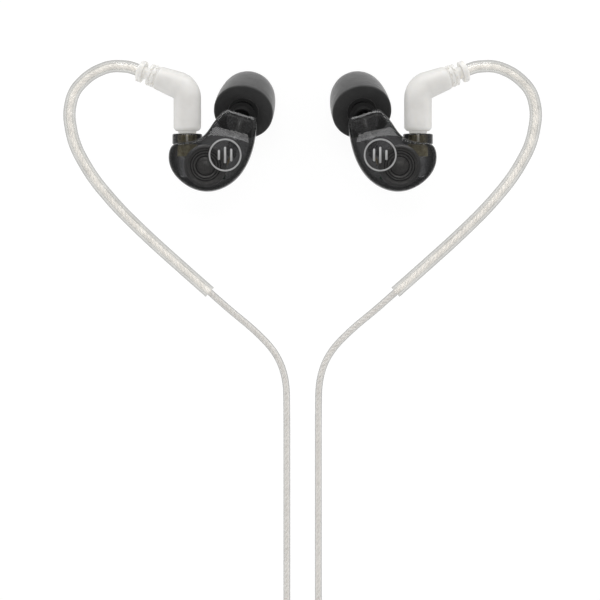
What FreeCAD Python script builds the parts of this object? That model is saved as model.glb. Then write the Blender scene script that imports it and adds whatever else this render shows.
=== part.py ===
import FreeCAD, Part
import math
import os

# Stage in-ear monitors: a pair of smoke-clear earpieces with foam tips on detachable cables.
# Millimetres. The pair lies on a surface at z = 0 with the face plates up (+Z), the ear hooks
# towards -X and +X, and the cable running towards -Y. The earpiece at -X is the wearer's right;
# the left one is its mirror image in the plane x = 0.

V = FreeCAD.Vector
UP = V(0, 0, 1)
CONNECTOR_WAY = V(0, 1, 0)

# Earpiece shell
FACE_Z = 17.0                 # flat front of the face plate
PARTING_Z = 13.8              # where the two shell halves meet
WALL_SHARE = 0.91             # cavity size as a share of the outer outline
WALL = 0.9
SHELL_CENTRE = V(-19.6, 4.2, 0)
SHELL_OUTLINE = [             # seen from the front, counter-clockwise from the neck
    (-13.7, 14.3), (-16.9, 14.9), (-19.3, 12.4), (-21.8, 9.0), (-25.2, 7.7), (-28.6, 6.9),
    (-29.4, 3.6), (-27.2, -0.6), (-21.2, -3.3), (-14.9, -0.9), (-11.5, 4.2), (-10.1, 10.4),
    (-10.7, 12.9),
]
FACE_LAYERS = [(0.0, 1.0), (1.7, 0.995), (2.6, 0.965), (3.2, 0.90)]   # height over parting, scale
BACK_LAYERS = [               # tilt in degrees, drop at the neck, scale
    (0, 0.0, 1.0), (5, 0.45, 1.0), (10, 0.8, 0.975), (15, 1.05, 0.90), (18, 1.2, 0.76),
    (20, 1.3, 0.5),
]
NECK_SLOPE = 20               # degrees by which the face plate falls away towards the nozzle
NECK_SLOPE_START = -5.6       # where it starts, along the nozzle's heading from the tip centre
NECK_SLOPE_RADIUS = 7.0

# Nozzle and ear tip, about the axis that points into the ear canal
TIP_BACK = V(-13.1, 14.2, 11.53)          # centre of the foam's back face
NOZZLE_HEADING = V(0.276, 0.961, 0)       # the axis seen from the front
NOZZLE_LEAN = 30                          # degrees between the axis and straight down
NOZZLE_RADIUS = 2.3
NOZZLE_LIP_RADIUS = 2.5
NOZZLE_BORE = 1.9
NOZZLE_START = -2.6
NOZZLE_LENGTH = 6.8
COLLAR_RADIUS = 2.8
CORE_BORE = 2.55
CORE_RADIUS = 3.3
CORE_LENGTH = 8.6
FOAM_RADIUS = 6.6
FOAM_LENGTH = 11.0

# Inside the shell
DRIVER_SEAT = V(-21.3, 2.4, 12.95)
ARMATURE_SIZE = V(4.6, 2.6, 1.9)
ARMATURE_REACH = 7.9                      # back from the tip centre, along the nozzle's heading
ARMATURE_Z = 14.6
SPOUT_END = 2.9
HOSE_BORE = 0.6
HOSE_RADIUS = 0.95
BOARD_CENTRE = V(-20.0, 1.6, 10.6)
BOARD_SIZE = V(6.0, 4.2, 0.6)
BOARD_CHIPS = [                           # place across the board and size, all under it
    (-1.8, 0.9, V(1.6, 0.8, 0.7)), (0.6, 1.0, V(1.0, 0.5, 0.4)), (0.4, -0.9, V(1.6, 0.8, 0.6)),
]

# Cable connector, about an axis parallel to Y
CONNECTOR = V(-25.4, 0, 10.5)
BOSS_RADIUS = 3.3
BOSS_TOP = 9.54
BOSS_BASE = 7.2
SOCKET_RADIUS = 2.2
SOCKET_BORE = 1.70
SOCKET_TOP = 9.3
SOCKET_BASE = 4.6
BARREL_RADIUS = 1.65
BARREL_BORE = 1.35
PLUG_PIN_RADIUS = 0.7
CONTACT_RADIUS = 0.3

# Angled plug
PLUG_RADIUS = 3.03
PLUG_BASE = 9.62
COLLAR_NECK_RADIUS = 2.0                  # narrow part of the moulding next to the earpiece
COLLAR_NECK_END = 10.17
SHANK_END = 12.4
ELBOW = CONNECTOR + V(0, 19.5, 0)
ARM_WAY = V(-0.9132, 0.3505, -0.2079).normalize()     # out, up and down towards the surface
ARM_LENGTH = 7.1
ARM_END_RADIUS = 2.5
BEND_RADIUS = 3.1                         # of the moulding's middle line, from the barrel to the arm
RELIEF_LENGTH = 4.9
RELIEF_PROFILE = [                        # radius, distance from the arm: two grooves, a neck and a flange
    (0, 0), (2.1, 0), (2.1, 0.35), (2.5, 0.35), (2.5, 1.15), (2.05, 1.15), (2.05, 1.4), (2.45, 1.4),
    (2.45, 2.1), (1.4, 2.1), (1.4, 3.4), (2.4, 3.4), (2.4, 4.5), (1.6, 4.55), (1.5, RELIEF_LENGTH),
    (0, RELIEF_LENGTH),
]
RELIEF_END = ELBOW + ARM_WAY * (ARM_LENGTH + RELIEF_LENGTH)

# Ear hook: a formed clear tube with the cable inside
TUBE_RADIUS = 1.375
TUBE_BORE = 0.875
CABLE_RADIUS = 0.75
HOOK_ROUTE = [
    RELIEF_END, RELIEF_END + ARM_WAY * 2.1, V(-42.5, 24.75, 6.1), V(-46.9, 23.05, 4.0), V(-50.8, 19.4, 2.1),
    V(-52.0, 14.3, 1.375), V(-50.8, 7.5, 1.375), V(-46.8, 0.3, 1.375), V(-41.0, -6.6, 1.375),
    V(-34.0, -13.4, 1.375), V(-27.2, -19.5, 1.375), V(-20.6, -25.33, 1.375),
]

# Branch cables, from the hook's end to the coil
HOOK_EXIT = (HOOK_ROUTE[-1] - HOOK_ROUTE[-2]).normalize()
BRANCH_ROUTE = [
    HOOK_ROUTE[-1], HOOK_ROUTE[-1] + HOOK_EXIT * 6.0, V(-10.6, -33.8, 0.76), V(-5.8, -38.8, 0.75),
    V(-3.6, -44.6, 0.75), V(-3.5, -52.0, 0.75), V(-3.5, -117.5, 0.75),
]

# Put-away coil, its tie, the split and the slider
MAIN_RADIUS = 1.1
COIL_CENTRE = V(13.2, -126.5, 0)
COIL_MEAN_RADIUS = 13.2
COIL_HALF_HEIGHT = 3.7
COIL_FLAT = 4.0               # flat part of the bundle's section, top and bottom
TIE_THICKNESS = 0.4
TIE_ANGLE = 26
TIE_TURN = 60
SPLIT_SIZE = V(7.0, 13.0, 4.2)
SLIDER_SIZE = V(11.6, 8.0, 3.0)
SLIDER_Y = -101.5
SLIDER_BORE = 0.83

# 3.5 mm plug
JACK_AXIS_Z = 3.6
JACK_RADIUS = 3.6
JACK_PIN_RADIUS = 1.75
MAIN_ROUTE = [
    V(-4.4, -126.5, 1.5), V(-4.6, -132.1, 1.5), V(-8.6, -138.4, JACK_AXIS_Z), V(-8.6, -144.4, JACK_AXIS_Z),
]
JACK_WAY = V(0, -1, 0)
JACK_RELIEF_LENGTH = 8.0
JACK_HOUSING_LENGTH = 18.0


def tip_axis():
    """Unit vector from the earpiece into the ear canal."""
    lean = math.radians(NOZZLE_LEAN)
    heading = V(NOZZLE_HEADING).normalize()
    return heading * math.sin(lean) - UP * math.cos(lean)


def lay_along(shape, origin, way):
    """Move a shape built about Z so that its axis starts at origin and runs along way."""
    shape.Placement = FreeCAD.Placement(origin, FreeCAD.Rotation(UP, way))
    return shape


def turned(profile, origin, way):
    """Solid of revolution from (radius, distance along the axis) corners."""
    corners = [V(radius, 0, along) for radius, along in profile]
    face = Part.Face(Part.makePolygon(corners + corners[:1]))
    return lay_along(face.revolve(V(), UP, 360), origin, way)


def ring(inner, outer, start, end, origin, way):
    """Plain tube, or a disc when inner is zero."""
    return turned([(inner, start), (outer, start), (outer, end), (inner, end)], origin, way)


def rounded(shape, radius, edges=None):
    """Fillet every edge, or those that a test picks."""
    chosen = [edge for edge in shape.Edges if edges is None or edges(edge)]
    return shape.makeFillet(radius, chosen)


def box(centre, size):
    """Box from its centre and size."""
    corner = centre - size * 0.5
    return Part.makeBox(size.x, size.y, size.z, corner)


def route_wire(points):
    """Straight runs joined by tangent arcs, each as large as its two runs allow."""
    edges = []
    radii = []
    cursor = points[0]
    for before, corner, after in zip(points, points[1:], points[2:]):
        run_in = corner - before
        run_out = after - corner
        half_turn = run_in.getAngle(run_out) / 2
        reach = 0.45 * min(run_in.Length, run_out.Length)
        radius = reach / math.tan(half_turn)
        way_in = V(run_in).normalize()
        way_out = V(run_out).normalize()
        entry = corner - way_in * reach
        leave = corner + way_out * reach
        inward = (way_out - way_in).normalize()
        middle = corner + inward * (radius / math.cos(half_turn) - radius)
        edges.append(Part.LineSegment(cursor, entry).toShape())
        edges.append(Part.Arc(entry, middle, leave).toShape())
        radii.append(round(radius, 1))
        cursor = leave
    edges.append(Part.LineSegment(cursor, points[-1]).toShape())
    return Part.Wire(edges), radii


def swept(name, points, outer, inner=0.0):
    """Round bar or tube along a route, with its volume compared with section times length."""
    path, radii = route_wire(points)
    way = (points[1] - points[0]).normalize()
    section = Part.Face(Part.Wire(Part.makeCircle(outer, points[0], way)))
    if inner:
        section = section.cut(Part.Face(Part.Wire(Part.makeCircle(inner, points[0], way)))).Faces[0]
    solid = path.makePipe(section)
    if solid.ShapeType != "Solid":
        solid = solid.Solids[0]
    expected = math.pi * (outer ** 2 - inner ** 2) * path.Length
    share = round(solid.Volume / expected, 4)
    print(name, "length", round(path.Length, 1), "radii", radii, "volume share", share)
    return solid


def closed_curve(points):
    """Smooth closed wire through points."""
    curve = Part.BSplineCurve()
    curve.interpolate(Points=points, PeriodicFlag=True)
    return Part.Wire(curve.toShape())


def outline(scale):
    """The shell's outline at z = 0, scaled about its centre."""
    points = [SHELL_CENTRE + (V(x, y, 0) - SHELL_CENTRE) * scale for x, y in SHELL_OUTLINE]
    return closed_curve(points)


def slope_block(drop):
    """Everything under the face plate's front, which falls away towards the nozzle."""
    slope = math.radians(NECK_SLOPE)
    top = FACE_Z - drop
    tangent = (NECK_SLOPE_RADIUS - drop) * math.tan(slope / 2)
    start = NECK_SLOPE_START - tangent
    bend = V(NECK_SLOPE_START, 0, top)
    way_out = V(math.cos(slope), 0, -math.sin(slope))
    arc_end = bend + way_out * tangent
    half = V(math.sin(slope / 2), 0, math.cos(slope / 2))
    arc_centre = V(start, 0, top - (NECK_SLOPE_RADIUS - drop))
    arc_middle = arc_centre + half * (NECK_SLOPE_RADIUS - drop)
    far = bend + way_out * 15
    corners = [V(start, 0, top), V(-40, 0, top), V(-40, 0, 0), V(far.x, 0, 0), far, arc_end]
    edges = [Part.LineSegment(a, b).toShape() for a, b in zip(corners, corners[1:])]
    edges.append(Part.Arc(arc_end, arc_middle, corners[0]).toShape())
    block = Part.Face(Part.Wire(edges)).extrude(V(0, 60, 0))
    block.translate(V(0, -30, 0))
    heading = math.degrees(math.atan2(NOZZLE_HEADING.y, NOZZLE_HEADING.x))
    block.rotate(V(), UP, heading)
    block.translate(V(TIP_BACK.x, TIP_BACK.y, 0))
    return block


def face_body(share, drop):
    """Front half as a solid: layers that draw in towards the flat face."""
    wires = []
    for height, scale in FACE_LAYERS:
        wire = outline(scale * share)
        wire.translate(V(0, 0, PARTING_Z + height * (FACE_Z - drop - PARTING_Z) / (FACE_Z - PARTING_Z)))
        wires.append(wire)
    return Part.makeLoft(wires, True, False).common(slope_block(drop))


def back_body(share, lift):
    """Rear half as a solid: layers that fan out from the neck, so that the back is a wedge."""
    pivot = V(TIP_BACK.x, TIP_BACK.y, 0)
    hinge = UP.cross(NOZZLE_HEADING)
    wires = []
    for tilt, drop, scale in BACK_LAYERS:
        wire = outline(scale * share)
        rise = lift * min(1.0, tilt / BACK_LAYERS[-2][0])
        wire.rotate(pivot, hinge, -tilt)
        wire.translate(V(0, 0, PARTING_Z - drop + rise))
        wires.append(wire)
    return Part.makeLoft(wires, True, False)


def shell_parts():
    """Face plate half and rear half with its connector boss and nozzle collar."""
    way = tip_axis()
    nozzle_seat = ring(0, NOZZLE_RADIUS, NOZZLE_START, 5, TIP_BACK, way)
    hose_seat = hose_line(0)
    face = face_body(1.0, 0.0).cut(face_body(WALL_SHARE, WALL)).cut(nozzle_seat).cut(hose_seat)
    boss = ring(0, BOSS_RADIUS, BOSS_BASE, BOSS_TOP, CONNECTOR, CONNECTOR_WAY)
    collar = turned([
        (0, -4.2), (COLLAR_RADIUS + 0.5, -4.2), (COLLAR_RADIUS, -0.4), (0, -0.4),
    ], TIP_BACK, way)
    under = box(V(-20, 5, PARTING_Z - 15), V(60, 60, 30))
    mounts = boss.fuse(collar.common(under))
    cavity = back_body(WALL_SHARE, WALL).cut(boss).cut(collar)
    socket_seat = ring(0, SOCKET_RADIUS, 0, BOSS_TOP + 1, CONNECTOR, CONNECTOR_WAY)
    back = back_body(1.0, 0.0).fuse(mounts).cut(cavity)
    back = back.cut(socket_seat).cut(nozzle_seat).cut(hose_seat)
    return {"outer_shell": face.Solids[0], "inner_shell": max(back.Solids, key=lambda s: s.Volume)}


def face_mark():
    """Thin raised ring with three rounded level bars, a plain generic mark."""
    centre = V(-17.0, 4.7, FACE_Z)
    solids = [ring(3.25, 3.6, 0, 0.08, centre, UP)]
    for shift, height in ((-1.35, 2.2), (0.0, 3.6), (1.35, 2.8)):
        bar = box(centre + V(shift, 0, 0.04), V(0.5, height, 0.08))
        solids.append(rounded(bar, 0.2, lambda e: abs(e.tangentAt(0).z) > 0.9))
    return Part.makeCompound(solids)


def tip_parts():
    """Nozzle with its mesh, and the ear tip's soft core and foam."""
    way = tip_axis()
    nozzle = turned([
        (NOZZLE_BORE, NOZZLE_START), (NOZZLE_RADIUS, NOZZLE_START), (NOZZLE_RADIUS, 5.0),
        (NOZZLE_LIP_RADIUS, 5.4), (NOZZLE_LIP_RADIUS, 6.0), (NOZZLE_RADIUS - 0.1, NOZZLE_LENGTH),
        (NOZZLE_BORE, NOZZLE_LENGTH),
    ], TIP_BACK, way)
    mesh = ring(0, NOZZLE_BORE, NOZZLE_LENGTH - 0.6, NOZZLE_LENGTH - 0.3, TIP_BACK, way)
    core = ring(CORE_BORE, CORE_RADIUS, 0.3, CORE_LENGTH, TIP_BACK, way)
    foam = turned([
        (CORE_RADIUS, 0.3), (5.9, 0), (6.4, 0.25), (FOAM_RADIUS, 0.8), (6.55, 3.0), (6.3, 6.0), (5.9, 8.2),
        (5.3, 9.8), (4.6, 10.65), (3.9, FOAM_LENGTH), (2.9, 10.8), (2.5, 10.2), (2.5, CORE_LENGTH),
        (CORE_RADIUS, CORE_LENGTH),
    ], TIP_BACK, way)
    return {"nozzle": nozzle, "nozzle_mesh": mesh, "tip_core": core, "tip_foam": foam}


def socket_parts():
    """Brass socket in the boss, its insulator and centre contact."""
    body = turned([
        (SOCKET_BORE, SOCKET_TOP), (SOCKET_RADIUS, SOCKET_TOP), (SOCKET_RADIUS, 7.8), (1.98, 7.7),
        (1.98, 7.3), (SOCKET_RADIUS, 7.2), (SOCKET_RADIUS, SOCKET_BASE), (1.0, SOCKET_BASE),
        (1.0, 5.2), (SOCKET_BORE, 5.2), (SOCKET_BORE, 6.2), (1.85, 6.3), (1.85, 6.75), (SOCKET_BORE, 6.85),
    ], CONNECTOR, CONNECTOR_WAY)
    insulator = ring(CONTACT_RADIUS, 1.0, SOCKET_BASE - 0.4, 5.2, CONNECTOR, CONNECTOR_WAY)
    contact = turned([
        (0, SOCKET_BASE - 1.3), (CONTACT_RADIUS, SOCKET_BASE - 1.3), (CONTACT_RADIUS, 7.6),
        (0.12, 8.0), (0, 8.0),
    ], CONNECTOR, CONNECTOR_WAY)
    return {"socket_body": body, "socket_insulator": insulator, "socket_contact": contact}


def hose_line(bore):
    """Sound tube from the armature's spout to the back of the nozzle, or its seat when bore is zero."""
    heading = V(NOZZLE_HEADING).normalize()
    start = V(TIP_BACK.x, TIP_BACK.y, ARMATURE_Z) - heading * (ARMATURE_REACH - SPOUT_END - 0.1)
    run = TIP_BACK + tip_axis() * (NOZZLE_START - 0.2) - start
    hose = ring(bore, HOSE_RADIUS, 0, run.Length, start, run)
    return hose.cut(ring(0, NOZZLE_RADIUS, NOZZLE_START - 0.05, 0, TIP_BACK, tip_axis())).Solids[0]


def driver_parts():
    """Round driver under the face plate, the armature driver and the board."""
    frame = turned([
        (3.6, 0), (4.7, 0), (4.7, 2.6), (4.2, 2.9), (3.9, 2.9), (3.9, 2.3), (4.3, 2.3), (4.3, 0.5),
        (3.6, 0.5),
    ], DRIVER_SEAT, UP)
    dome = turned([
        (0, 2.75), (1.6, 2.45), (2.0, 2.05), (3.0, 2.3), (3.9, 2.3), (3.9, 2.2), (3.0, 2.2), (2.0, 1.95),
        (1.6, 2.35), (0, 2.65),
    ], DRIVER_SEAT, UP)
    magnet = turned([
        (0.7, -0.9), (3.1, -0.9), (3.3, -0.7), (3.3, 0.4), (2.8, 1.5), (0.7, 1.5),
    ], DRIVER_SEAT, UP)
    heading = V(NOZZLE_HEADING).normalize()
    body = rounded(box(V(), ARMATURE_SIZE), 0.3)
    armature = body.fuse(ring(0.35, HOSE_BORE, ARMATURE_SIZE.x / 2, SPOUT_END, V(), V(1, 0, 0)))
    armature.rotate(V(), UP, math.degrees(math.atan2(heading.y, heading.x)))
    armature.translate(V(TIP_BACK.x, TIP_BACK.y, ARMATURE_Z) - heading * ARMATURE_REACH)
    board = [box(BOARD_CENTRE, BOARD_SIZE)]
    for x, y, size in BOARD_CHIPS:
        board.append(box(BOARD_CENTRE + V(x, y, -(BOARD_SIZE.z + size.z) / 2), size))
    return {
        "driver_frame": frame, "driver_diaphragm": dome, "driver_magnet": magnet,
        "armature_driver": armature, "sound_tube": hose_line(HOSE_BORE),
        "crossover_board": Part.makeCompound(board),
    }


def plug_moulding():
    """Collar and barrel, a bend, and an arm that tapers to the relief, hollow for the connector's shank."""
    turn = CONNECTOR_WAY.getAngle(ARM_WAY)
    setback = BEND_RADIUS * math.tan(turn / 2)
    bend_start = ELBOW - CONNECTOR_WAY * setback
    bend_axis = CONNECTOR_WAY.cross(ARM_WAY).normalize()
    bend_centre = bend_start + bend_axis.cross(CONNECTOR_WAY) * BEND_RADIUS
    barrel = turned([
        (BARREL_RADIUS, PLUG_BASE), (COLLAR_NECK_RADIUS, PLUG_BASE), (COLLAR_NECK_RADIUS, COLLAR_NECK_END),
        (2.5, COLLAR_NECK_END), (PLUG_RADIUS, 10.95), (PLUG_RADIUS, bend_start.y), (0, bend_start.y),
        (0, SHANK_END), (BARREL_RADIUS, SHANK_END),
    ], CONNECTOR, CONNECTOR_WAY)
    section = Part.Face(Part.Wire(Part.makeCircle(PLUG_RADIUS, bend_start, CONNECTOR_WAY)))
    bend = section.revolve(bend_centre, bend_axis, math.degrees(turn))
    arm_run = ARM_LENGTH - setback
    arm = turned([
        (0, 0), (PLUG_RADIUS, 0), (ARM_END_RADIUS, arm_run), (0, arm_run),
    ], ELBOW + ARM_WAY * setback, ARM_WAY)
    return barrel.fuse([bend, arm])


def plug_parts():
    """Milky angled plug with its ribbed relief, and the metal connector that it carries."""
    relief = turned(RELIEF_PROFILE, ELBOW + ARM_WAY * ARM_LENGTH, ARM_WAY)
    shank = turned([
        (BARREL_BORE, 5.7), (BARREL_RADIUS, 5.7), (BARREL_RADIUS, 6.3), (1.45, 6.3), (1.45, 6.75),
        (BARREL_RADIUS, 6.75), (BARREL_RADIUS, SHANK_END), (BARREL_BORE, SHANK_END),
    ], CONNECTOR, CONNECTOR_WAY)
    insulator = ring(PLUG_PIN_RADIUS, BARREL_BORE, 8.9, SHANK_END, CONNECTOR, CONNECTOR_WAY)
    pin = turned([
        (CONTACT_RADIUS + 0.06, 5.9), (PLUG_PIN_RADIUS - 0.15, 5.9), (PLUG_PIN_RADIUS, 6.2),
        (PLUG_PIN_RADIUS, SHANK_END), (0, SHANK_END), (0, 8.3), (CONTACT_RADIUS + 0.06, 8.3),
    ], CONNECTOR, CONNECTOR_WAY)
    snap = ring(1.47, BARREL_RADIUS + 0.03, 6.35, 6.7, CONNECTOR, CONNECTOR_WAY)
    gap = box(CONNECTOR + V(1.6, 6.5, 0), V(1.0, 1.0, 0.5))
    return {
        "plug_body": plug_moulding(), "strain_relief": relief, "plug_barrel": shank,
        "plug_insulator": insulator, "plug_pin": pin, "snap_ring": snap.cut(gap).Solids[0],
    }


def bundle_section(grow):
    """Flattened round section of the coil's bundle, standing in the XZ plane beside the axis."""
    half = COIL_HALF_HEIGHT + grow
    middle = TIE_THICKNESS + COIL_HALF_HEIGHT
    left = COIL_MEAN_RADIUS - COIL_FLAT / 2
    right = COIL_MEAN_RADIUS + COIL_FLAT / 2
    low_left = V(left, 0, middle - half)
    low_right = V(right, 0, middle - half)
    high_right = V(right, 0, middle + half)
    high_left = V(left, 0, middle + half)
    edges = [
        Part.LineSegment(low_left, low_right).toShape(),
        Part.Arc(low_right, V(right + half, 0, middle), high_right).toShape(),
        Part.LineSegment(high_right, high_left).toShape(),
        Part.Arc(high_left, V(left - half, 0, middle), low_left).toShape(),
    ]
    return Part.Face(Part.Wire(edges))


def coil_parts():
    """Neat coil of the spare cable, the strap that ties it and the split that lies on it."""
    coil = bundle_section(0).revolve(V(), UP, 360)
    strap = bundle_section(TIE_THICKNESS).cut(bundle_section(0)).Faces[0].revolve(V(), UP, TIE_ANGLE)
    strap.rotate(V(), UP, TIE_TURN)
    for shape in (coil, strap):
        shape.translate(COIL_CENTRE)
    top = TIE_THICKNESS + 2 * COIL_HALF_HEIGHT
    centre = COIL_CENTRE + V(COIL_MEAN_RADIUS, 0, top + SPLIT_SIZE.z / 2)
    split = rounded(box(centre, SPLIT_SIZE), 1.4)
    return {"cable_coil": coil, "coil_tie": strap, "y_split": split}


def chin_slider():
    """Cinch slider: a rounded block with two channels that open underneath."""
    centre = V(0, SLIDER_Y, SLIDER_SIZE.z / 2 + 0.08)
    block = rounded(box(centre, SLIDER_SIZE), 0.9, lambda e: e.BoundBox.ZMax > 2)
    for side in (-1, 1):
        start = V(side * BRANCH_ROUTE[-1].x, SLIDER_Y - SLIDER_SIZE.y, CABLE_RADIUS)
        block = block.cut(Part.makeCylinder(SLIDER_BORE, 2 * SLIDER_SIZE.y, start, V(0, 1, 0)))
    return block.Solids[0]


def jack_parts():
    """Straight 3.5 mm three-pole plug with its relief, lying beside the coil."""
    start = MAIN_ROUTE[-1]
    relief = turned([
        (0, 0), (1.6, 0), (2.0, 3.0), (2.6, 6.0), (2.9, JACK_RELIEF_LENGTH), (0, JACK_RELIEF_LENGTH),
    ], start, JACK_WAY)
    base = start + JACK_WAY * JACK_RELIEF_LENGTH
    housing = turned([
        (0, 0), (3.0, 0), (JACK_RADIUS, 1.2), (JACK_RADIUS, 14.0), (3.3, 14.3), (3.3, 15.0),
        (JACK_RADIUS, 15.3), (JACK_RADIUS, 16.8), (2.9, JACK_HOUSING_LENGTH), (0, JACK_HOUSING_LENGTH),
    ], base, JACK_WAY)
    pin = base + JACK_WAY * JACK_HOUSING_LENGTH
    radius = JACK_PIN_RADIUS
    sleeve = ring(0, radius, 0, 7.5, pin, JACK_WAY)
    middle = ring(0, radius, 8.1, 10.2, pin, JACK_WAY)
    tip = turned([
        (0, 10.8), (radius, 10.8), (1.15, 11.9), (1.7, 12.7), (1.5, 13.4), (0.6, 14.0), (0, 14.0),
    ], pin, JACK_WAY)
    bands = [ring(0, radius, low, low + 0.6, pin, JACK_WAY) for low in (7.5, 10.2)]
    return {
        "jack_relief": relief, "jack_housing": housing,
        "jack_contacts": Part.makeCompound([sleeve, middle, tip]),
        "jack_insulators": Part.makeCompound(bands),
    }


def side_parts():
    """Every piece of the right ear's side."""
    parts = {}
    parts.update(shell_parts())
    parts["face_mark"] = face_mark()
    parts.update(tip_parts())
    parts.update(socket_parts())
    parts.update(driver_parts())
    parts.update(plug_parts())
    parts["hook_tube"] = swept("hook tube", HOOK_ROUTE, TUBE_RADIUS, TUBE_BORE)
    parts["hook_cable"] = swept("hook cable", HOOK_ROUTE, CABLE_RADIUS)
    parts["branch_cable"] = swept("branch cable", BRANCH_ROUTE, CABLE_RADIUS)
    return parts


def main():
    os.makedirs("parts", exist_ok=True)
    coil = coil_parts()
    parts = dict(coil)
    for name, shape in side_parts().items():
        mirrored = shape.mirror(V(), V(1, 0, 0))
        for side, piece in (("right", shape), ("left", mirrored)):
            if name == "branch_cable":
                piece = piece.cut(coil["cable_coil"]).Solids[0]
            parts[f"{side}_{name}"] = piece
    parts["chin_slider"] = chin_slider()
    tail = swept("main cable", MAIN_ROUTE, MAIN_RADIUS).cut(coil["cable_coil"])
    parts["main_cable"] = max(tail.Solids, key=lambda s: s.Volume)
    parts.update(jack_parts())
    for name, shape in parts.items():
        if not shape.isValid():
            print("not valid:", name)
        shape.exportStep(f"parts/{name}.step")
    print(len(parts), "nodes")


main()
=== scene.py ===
from math import atan2, copysign, cos, pi, radians, sin, sqrt, tan

import bmesh
import bpy
import numpy as np
from mathutils import Matrix, Vector, noise


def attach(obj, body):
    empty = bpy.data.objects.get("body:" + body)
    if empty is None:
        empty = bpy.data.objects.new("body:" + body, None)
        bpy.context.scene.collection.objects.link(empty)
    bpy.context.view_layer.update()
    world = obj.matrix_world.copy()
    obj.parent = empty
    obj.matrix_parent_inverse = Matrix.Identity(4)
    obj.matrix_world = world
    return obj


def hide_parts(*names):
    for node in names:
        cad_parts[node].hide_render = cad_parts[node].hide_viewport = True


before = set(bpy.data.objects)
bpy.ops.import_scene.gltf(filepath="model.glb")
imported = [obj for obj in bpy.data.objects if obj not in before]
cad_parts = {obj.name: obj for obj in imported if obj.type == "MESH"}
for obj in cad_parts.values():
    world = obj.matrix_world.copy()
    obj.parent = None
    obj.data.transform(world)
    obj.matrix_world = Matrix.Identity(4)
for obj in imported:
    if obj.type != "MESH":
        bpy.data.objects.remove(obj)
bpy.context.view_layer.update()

# The looks of a pair of stage in-ear monitors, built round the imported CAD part. Lengths are in
# millimetres until a mesh is made. The right ear's pieces are drawn, and the left's are mirrored.

MM = 0.001
SIDES = (("right", 1), ("left", -1))
MIDDLE = ((None, 1),)
UP = Vector((0, 0, 1))
FORWARD = Vector((0, 1, 0))

# Shell
FACE_Z = 17.0
PARTING_Z = 13.8
FACE_DEPTH = FACE_Z - PARTING_Z
WALL = 0.9
WALL_SHARE = 0.91
SHELL_CENTRE = Vector((-19.6, 4.2, 0))
SHELL_OUTLINE = (
    (-13.6, 14.25), (-16.2, 14.95), (-17.05, 14.85), (-17.7, 14.2), (-19.3, 12.3), (-21.8, 9.0),
    (-25.2, 7.7), (-28.6, 6.9), (-29.4, 3.6), (-27.2, -0.6), (-21.2, -3.3), (-14.9, -0.9), (-11.5, 4.2),
    (-10.1, 10.4), (-10.05, 12.2), (-10.35, 13.1), (-11.1, 13.5),
)
FACE_ROWS = (                 # height over the parting, scale
    (0.0, 0.992), (0.1, 1.0), (0.9, 0.999), (1.7, 0.995), (2.25, 0.984), (2.62, 0.967),
    (2.9, 0.945), (3.08, 0.92), (3.17, 0.89), (3.2, 0.85),
)
BACK_ROWS = (                 # tilt in degrees, drop at the neck, scale
    (0, 0.0, 0.992), (0.4, 0.05, 1.0), (5, 0.45, 1.0), (10, 0.8, 0.975), (15, 1.05, 0.90),
    (18, 1.2, 0.76), (20, 1.3, 0.5), (20.7, 1.33, 0.25),
)
NECK_SLOPE = radians(20)
NECK_SLOPE_START = -5.6
NECK_SLOPE_RADIUS = 11.0
NECK_CROWN = 0.008            # fall per square millimetre away from the neck's middle line
NECK_MIDDLE = 0.6
NECK_CROWN_START = -9.0
NECK_CROWN_RUN = 4.0

# Nozzle and ear tip
TIP_BACK = Vector((-13.1, 14.2, 11.53))
HEADING = Vector((0.276, 0.961, 0)).normalized()
TIP_WAY = HEADING * sin(radians(30)) - UP * cos(radians(30))
NOZZLE_START = -2.6
NOZZLE_RADIUS = 2.3
FOAM_PROFILE = (              # radius, distance along the tip
    (3.3, 0.3), (4.8, 0.1), (6.2, 0), (6.5, 0.12), (6.6, 0.45), (6.6, 1.9), (6.55, 3.0), (6.45, 4.6),
    (6.3, 6.0), (6.12, 7.2), (5.9, 8.2), (5.62, 9.1), (5.3, 9.8), (4.97, 10.3), (4.6, 10.65), (4.25, 10.88),
    (3.9, 11.0), (3.4, 10.98), (2.9, 10.8), (2.62, 10.55), (2.5, 10.2), (2.5, 9.4), (2.5, 8.6), (3.3, 8.6),
)
MESH_PITCH = 0.27
MESH_WIRES = 13

# Inside
DRIVER_SEAT = Vector((-21.3, 2.4, 12.95))
ARMATURE_BACK = 7.9           # from the neck's end to the armature driver's middle
ARMATURE_SPOUT = 2.9
ARMATURE = Vector((TIP_BACK.x, TIP_BACK.y, 14.6)) - HEADING * ARMATURE_BACK
HOSE_RADIUS = 0.95
HOSE_START = ARMATURE + HEADING * (ARMATURE_SPOUT + 0.1)
HOSE_RUN = TIP_BACK + TIP_WAY * (NOZZLE_START - 0.2) - HOSE_START
BOARD = Vector((-20.0, 1.6, 10.6))

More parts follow.
